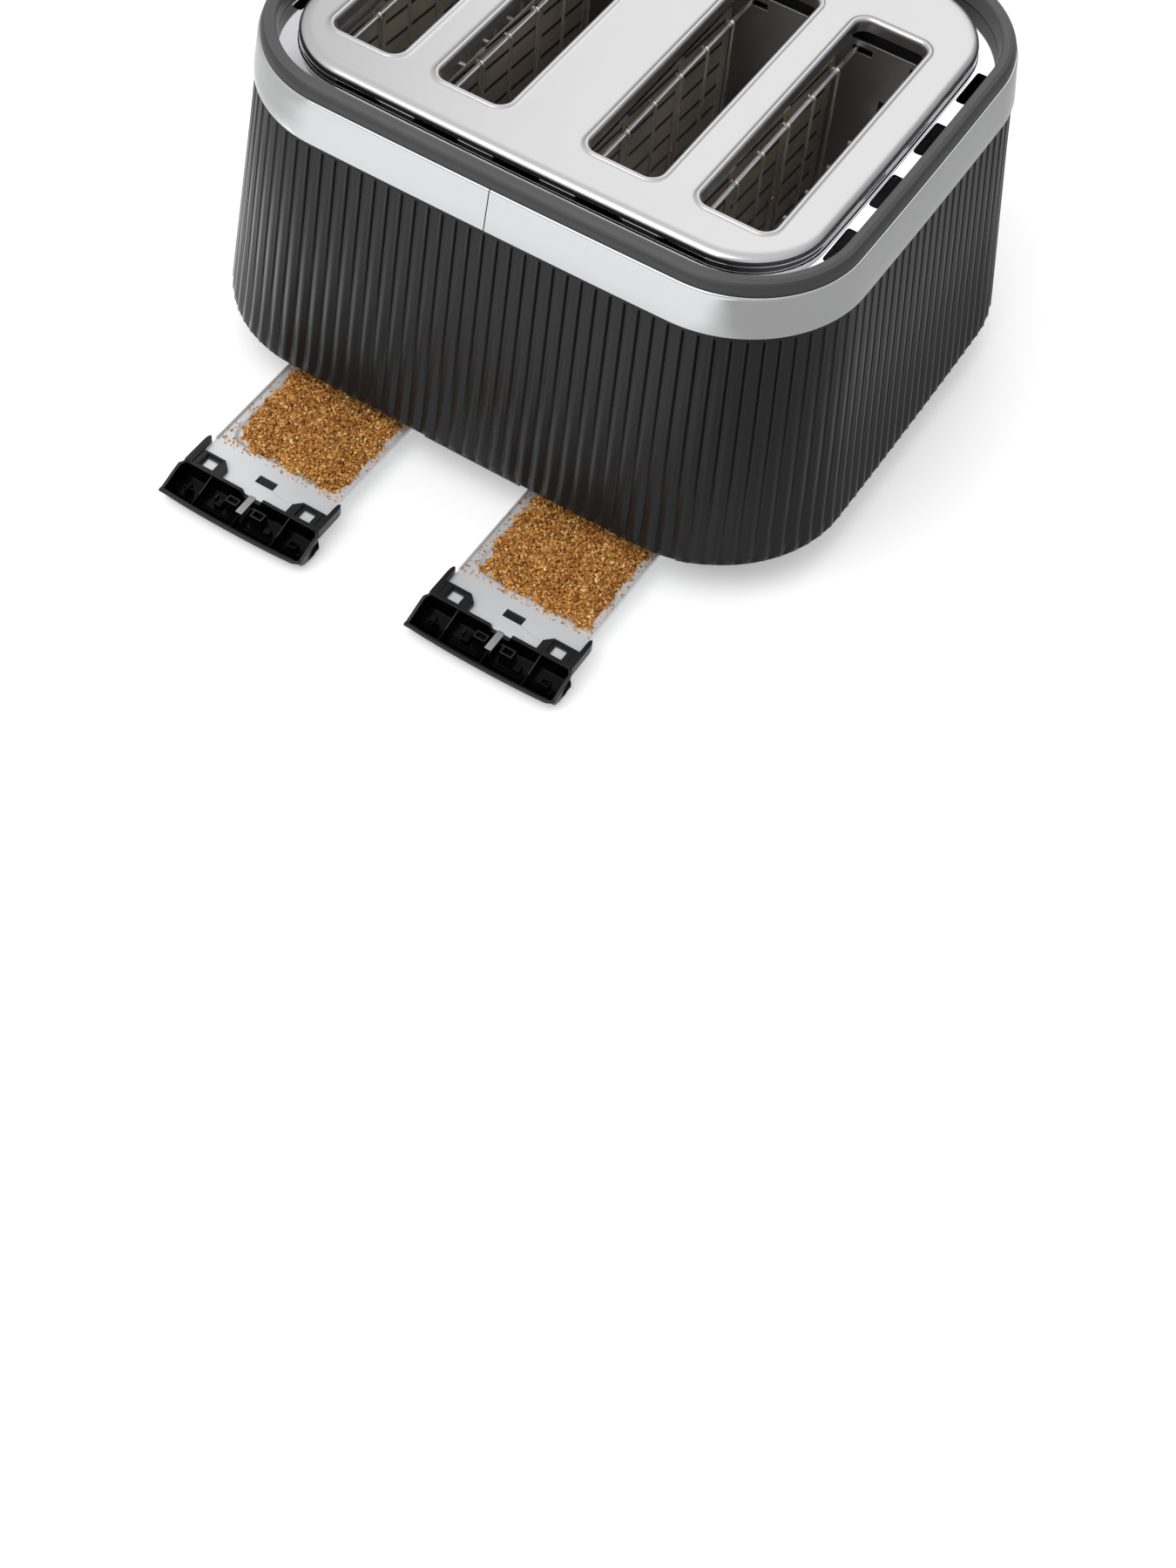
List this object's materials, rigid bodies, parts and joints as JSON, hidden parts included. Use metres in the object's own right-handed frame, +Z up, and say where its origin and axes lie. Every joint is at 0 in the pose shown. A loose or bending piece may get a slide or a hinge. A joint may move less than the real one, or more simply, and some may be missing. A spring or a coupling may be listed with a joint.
{
  "type": "pop-up toaster",
  "caption": "Pop-up toaster with a flared pleated body, chrome band, steel top with bread slots, lift levers and pull-out crumb trays.",
  "frame": {"origin": "centre of the body's footprint, on the table", "axes": "+Z up, controls on the -Y side, crumb trays on the +Y side, slots run along Y"},
  "size_m": [0.3382, 0.3911, 0.18],
  "materials": {
    "shell_plastic": "fine matte, vertical pleats",
    "chrome": "polished",
    "rim_plastic": "satin",
    "vent_steel": "bright",
    "top_steel": "brushed along the slots",
    "base_plastic": "moulded",
    "rubber": "matte",
    "screw_steel": "zinc plated",
    "galvanised": "galvanised sheet",
    "handle_plastic": "moulded, slight sheen",
    "panel_plastic": "polished",
    "chassis_steel": "heat darkened sheet",
    "mica": "mica board with heater ribbon",
    "rod_steel": "ground",
    "circuit_board": "lacquered",
    "coil": "enamelled copper",
    "ceramic": "glazed",
    "spring_steel": "drawn wire",
    "control_metal": "satin",
    "wire_steel": "plated wire"
  },
  "bodies": {
    "housing": {"outer_shell": "shell_plastic", "chrome_band_left": "chrome", "chrome_band_right": "chrome", "top_rim": "rim_plastic", "vent_ring": "vent_steel", "top_plate": "top_steel", "base_plate": "base_plastic", "base_skirt": "base_plastic", "rubber_feet": "rubber", "base_screws": "screw_steel", "tray_rails": "galvanised", "cord_gland": "handle_plastic", "control_panel_left": "panel_plastic", "control_panel_right": "panel_plastic", "end_plate_front": "chassis_steel", "end_plate_rear": "chassis_steel", "heat_shields": "galvanised", "heater_board_1": "mica", "heater_board_2": "mica", "heater_board_3": "mica", "heater_board_4": "mica", "heater_board_5": "mica", "heater_board_6": "mica", "guide_rods": "rod_steel", "rod_brackets": "chassis_steel", "control_board_left": "circuit_board", "control_board_right": "circuit_board", "electromagnet_left": "coil", "electromagnet_right": "coil", "terminal_block": "ceramic", "carriage_spring_left": "spring_steel", "carriage_spring_right": "spring_steel"},
    "lever_left": {"lever_knob_left": "control_metal", "carriage_left": "chassis_steel", "bread_rack_1": "wire_steel", "bread_rack_2": "wire_steel"},
    "lever_right": {"lever_knob_right": "control_metal", "carriage_right": "chassis_steel", "bread_rack_3": "wire_steel", "bread_rack_4": "wire_steel"},
    "guide_1": {"bread_guide_1": "wire_steel"},
    "guide_2": {"bread_guide_2": "wire_steel"},
    "guide_3": {"bread_guide_3": "wire_steel"},
    "guide_4": {"bread_guide_4": "wire_steel"},
    "guide_5": {"bread_guide_5": "wire_steel"},
    "guide_6": {"bread_guide_6": "wire_steel"},
    "guide_7": {"bread_guide_7": "wire_steel"},
    "guide_8": {"bread_guide_8": "wire_steel"},
    "knob_left": {"browning_knob_left": "control_metal"},
    "cancel_left": {"cancel_button_left": "control_metal"},
    "defrost_left": {"defrost_button_left": "control_metal"},
    "reheat_left": {"reheat_button_left": "control_metal"},
    "tray_left": {"crumb_tray_left": "galvanised", "tray_handle_left": "handle_plastic"},
    "knob_right": {"browning_knob_right": "control_metal"},
    "cancel_right": {"cancel_button_right": "control_metal"},
    "defrost_right": {"defrost_button_right": "control_metal"},
    "reheat_right": {"reheat_button_right": "control_metal"},
    "tray_right": {"crumb_tray_right": "galvanised", "tray_handle_right": "handle_plastic"}
  },
  "joints": [
    {"name": "lever_left_slide", "type": "slide", "parent": "housing", "child": "lever_left", "axis": [0, 0, 1], "range_m": [-0.058, 0], "stiffness_N_per_m": 120, "springref_m": 0.03, "deforming": ["carriage_spring_left"]},
    {"name": "lever_right_slide", "type": "slide", "parent": "housing", "child": "lever_right", "axis": [0, 0, 1], "range_m": [-0.058, 0], "stiffness_N_per_m": 120, "springref_m": 0.03, "deforming": ["carriage_spring_right"]},
    {"name": "guide_1_close", "type": "slide", "parent": "housing", "child": "guide_1", "axis": [-1, 0, 0], "range_m": [0, 0.0069]},
    {"name": "guide_2_close", "type": "slide", "parent": "housing", "child": "guide_2", "axis": [1, 0, 0], "range_m": [0, 0.0069]},
    {"name": "guide_3_close", "type": "slide", "parent": "housing", "child": "guide_3", "axis": [-1, 0, 0], "range_m": [0, 0.0069]},
    {"name": "guide_4_close", "type": "slide", "parent": "housing", "child": "guide_4", "axis": [1, 0, 0], "range_m": [0, 0.0069]},
    {"name": "guide_5_close", "type": "slide", "parent": "housing", "child": "guide_5", "axis": [-1, 0, 0], "range_m": [0, 0.0069]},
    {"name": "guide_6_close", "type": "slide", "parent": "housing", "child": "guide_6", "axis": [1, 0, 0], "range_m": [0, 0.0069]},
    {"name": "guide_7_close", "type": "slide", "parent": "housing", "child": "guide_7", "axis": [-1, 0, 0], "range_m": [0, 0.0069]},
    {"name": "guide_8_close", "type": "slide", "parent": "housing", "child": "guide_8", "axis": [1, 0, 0], "range_m": [0, 0.0069]},
    {"name": "knob_left_turn", "type": "hinge", "parent": "housing", "child": "knob_left", "pos_m": [0.06695, -0.14219, 0.04674], "axis": [0, -0.9942, 0.1073], "range_deg": [-135, 135]},
    {"name": "cancel_left_press", "type": "slide", "parent": "housing", "child": "cancel_left", "axis": [0, 0.9942, -0.1073], "range_m": [0, 0.002], "stiffness_N_per_m": 300, "springref_m": -0.001},
    {"name": "defrost_left_press", "type": "slide", "parent": "housing", "child": "defrost_left", "axis": [0, 0.9942, -0.1073], "range_m": [0, 0.002], "stiffness_N_per_m": 300, "springref_m": -0.001},
    {"name": "reheat_left_press", "type": "slide", "parent": "housing", "child": "reheat_left", "axis": [0, 0.9942, -0.1073], "range_m": [0, 0.002], "stiffness_N_per_m": 300, "springref_m": -0.001},
    {"name": "tray_left_slide", "type": "slide", "parent": "housing", "child": "tray_left", "axis": [0, 1, 0], "range_m": [-0.091, 0.07]},
    {"name": "knob_right_turn", "type": "hinge", "parent": "housing", "child": "knob_right", "pos_m": [-0.06695, -0.14219, 0.04674], "axis": [0, -0.9942, 0.1073], "range_deg": [-135, 135]},
    {"name": "cancel_right_press", "type": "slide", "parent": "housing", "child": "cancel_right", "axis": [0, 0.9942, -0.1073], "range_m": [0, 0.002], "stiffness_N_per_m": 300, "springref_m": -0.001},
    {"name": "defrost_right_press", "type": "slide", "parent": "housing", "child": "defrost_right", "axis": [0, 0.9942, -0.1073], "range_m": [0, 0.002], "stiffness_N_per_m": 300, "springref_m": -0.001},
    {"name": "reheat_right_press", "type": "slide", "parent": "housing", "child": "reheat_right", "axis": [0, 0.9942, -0.1073], "range_m": [0, 0.002], "stiffness_N_per_m": 300, "springref_m": -0.001},
    {"name": "tray_right_slide", "type": "slide", "parent": "housing", "child": "tray_right", "axis": [0, 1, 0], "range_m": [-0.091, 0.07]}
  ],
  "couplings": [
    {"joint": "guide_1_close", "follows": "lever_left_slide", "ratio": -0.11},
    {"joint": "guide_2_close", "follows": "lever_left_slide", "ratio": -0.11},
    {"joint": "guide_3_close", "follows": "lever_left_slide", "ratio": -0.11},
    {"joint": "guide_4_close", "follows": "lever_left_slide", "ratio": -0.11},
    {"joint": "guide_5_close", "follows": "lever_right_slide", "ratio": -0.11},
    {"joint": "guide_6_close", "follows": "lever_right_slide", "ratio": -0.11},
    {"joint": "guide_7_close", "follows": "lever_right_slide", "ratio": -0.11},
    {"joint": "guide_8_close", "follows": "lever_right_slide", "ratio": -0.11}
  ]
}
